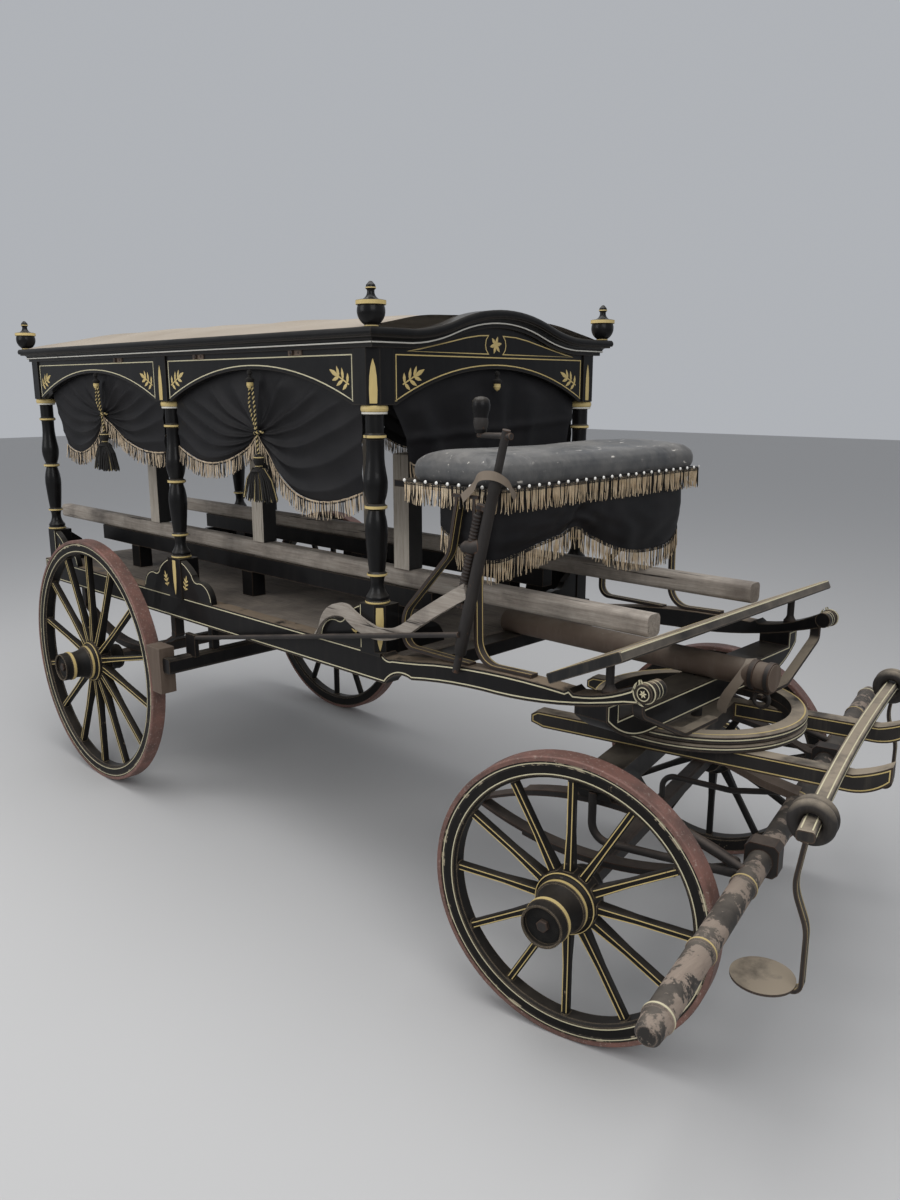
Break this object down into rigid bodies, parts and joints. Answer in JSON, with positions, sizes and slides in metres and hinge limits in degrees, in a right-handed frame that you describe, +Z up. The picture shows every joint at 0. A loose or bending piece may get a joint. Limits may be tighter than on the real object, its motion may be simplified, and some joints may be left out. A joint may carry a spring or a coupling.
{
  "type": "horse-drawn hearse carriage",
  "caption": "Four-wheeled horse-drawn hearse with a draped canopy on turned columns over a coffin bier, a driver's seat and a steered fore-carriage.",
  "frame": {"origin": "centre of the deck's top face, midway between the front and rear columns", "axes": "+X forward to the driver's seat, +Y to the left, +Z up; the body sits straight along X and the fore-carriage is turned 11.6 degrees to the left about its kingpin, as parked"},
  "size_m": [4.0887, 2.3003, 1.954],
  "materials": {
    "black_wood": "worn black paint",
    "grey_wood": "weathered",
    "black_iron": "black paint, rusted",
    "canvas": "matte",
    "drape_cloth": "oiled black cloth",
    "seat_leather": "worn",
    "tyre_iron": "rusty"
  },
  "bodies": {
    "carriage": {"beam_iron": "black_iron", "bier_frame": "black_wood", "bier_posts": "black_wood", "bier_rails": "grey_wood", "body_bolster": "black_wood", "brake_arm": "grey_wood", "brake_beam": "black_wood", "brake_lever": "black_iron", "brake_rod": "black_iron", "brake_shoes": "grey_wood", "cap_blocks": "black_wood", "centre_beam": "black_wood", "columns": "black_wood", "cornice": "black_wood", "cross_bearers": "black_wood", "deck_planks": "black_wood", "drape_front": "drape_cloth", "drape_left": "drape_cloth", "drape_rear": "drape_cloth", "drape_right": "drape_cloth", "footboard": "black_wood", "footboard_irons": "black_iron", "frieze_ends": "black_wood", "frieze_sides": "black_wood", "plinths": "black_wood", "rear_axle": "black_iron", "rear_springs": "black_iron", "ring_stays": "black_iron", "roof_canvas": "canvas", "seat_board": "black_wood", "seat_cushion": "seat_leather", "seat_irons": "black_iron", "seat_valance": "drape_cloth", "sill_left": "black_wood", "sill_right": "black_wood", "upper_ring": "black_iron", "urns": "black_wood"},
    "fore_carriage": {"fore_axle": "black_iron", "fore_springs": "black_iron", "fore_bolster": "black_wood", "futchells": "black_wood", "lower_ring": "black_iron", "step_bow": "black_iron", "step_irons": "black_iron", "splinter_bar": "black_wood", "bar_arm": "black_wood", "bar_stays": "black_iron", "bar_clamps": "black_iron"},
    "wheel_front_left": {"wheel_front_left": "black_wood", "tyre_front_left": "tyre_iron"},
    "wheel_front_right": {"wheel_front_right": "black_wood", "tyre_front_right": "tyre_iron"},
    "wheel_rear_left": {"wheel_rear_left": "black_wood", "tyre_rear_left": "tyre_iron"},
    "wheel_rear_right": {"wheel_rear_right": "black_wood", "tyre_rear_right": "tyre_iron"}
  },
  "joints": [
    {"name": "steering", "type": "hinge", "parent": "carriage", "child": "fore_carriage", "pos_m": [1.9685, 0, -0.102], "axis": [0, 0, 1], "range_deg": [-51.6, 28.4]},
    {"name": "front_wheel_right", "type": "hinge", "parent": "fore_carriage", "child": "wheel_front_right", "pos_m": [1.98064, -0.61614, -0.464], "axis": [-0.2011, 0.9796, 0], "continuous": true},
    {"name": "rear_wheel_right", "type": "hinge", "parent": "carriage", "child": "wheel_rear_right", "pos_m": [-0.5205, -0.653, -0.332], "axis": [0, 1, 0], "continuous": true},
    {"name": "front_wheel_left", "type": "hinge", "parent": "fore_carriage", "child": "wheel_front_left", "pos_m": [1.73693, 0.5711, -0.464], "axis": [-0.2011, 0.9796, 0], "continuous": true},
    {"name": "rear_wheel_left", "type": "hinge", "parent": "carriage", "child": "wheel_rear_left", "pos_m": [-0.5205, 0.653, -0.332], "axis": [0, 1, 0], "continuous": true}
  ]
}
